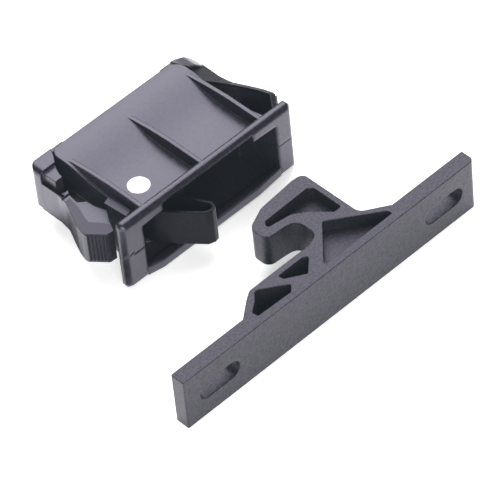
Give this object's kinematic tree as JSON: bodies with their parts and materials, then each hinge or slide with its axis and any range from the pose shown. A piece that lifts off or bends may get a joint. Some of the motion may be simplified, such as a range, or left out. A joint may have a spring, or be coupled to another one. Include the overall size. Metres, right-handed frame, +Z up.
{
  "type": "grabber catch",
  "caption": "Black moulded push-to-close catch: a snap-in housing with a pivoting hooked pawl on a steel pin, and its slotted keeper bar with a hook.",
  "frame": {"origin": "on the surface the two halves lie on, under the middle of the bounding box of the latch and its keeper", "axes": "+X along the bezel and the keeper bar, +Y from the keeper into the latch, +Z up, parallel to the pawl's pivot"},
  "size_m": [0.0856, 0.0678, 0.0189],
  "materials": {
    "housing_plastic": "satin moulded, black",
    "keeper_plastic": "fine spark-eroded grain, black",
    "pawl_plastic": "smooth low-friction moulding, black",
    "polished_steel": "polished",
    "spring_steel": "drawn wire"
  },
  "bodies": {
    "base": {"housing_upper": "housing_plastic", "housing_lower": "housing_plastic", "pivot_pin": "polished_steel", "keeper": "keeper_plastic"},
    "pawl": {"pawl": "pawl_plastic", "link_pin": "polished_steel"},
    "guide": {"spring_guide": "pawl_plastic", "spring": "spring_steel"}
  },
  "joints": [
    {"name": "pawl_pivot", "type": "hinge", "parent": "base", "child": "pawl", "pos_m": [-0.01124, 0.01268, 0.00945], "axis": [0, 0, 1], "range_deg": [0, 50]},
    {"name": "guide_swing", "type": "hinge", "parent": "pawl", "child": "guide", "pos_m": [-0.00785, 0.01701, 0.00945], "axis": [0, 0, 1], "range_deg": [-71.97, 0], "deforming": ["spring"]}
  ],
  "couplings": [
    {"joint": "guide_swing", "follows": "pawl_pivot", "ratio": -1.4335}
  ]
}
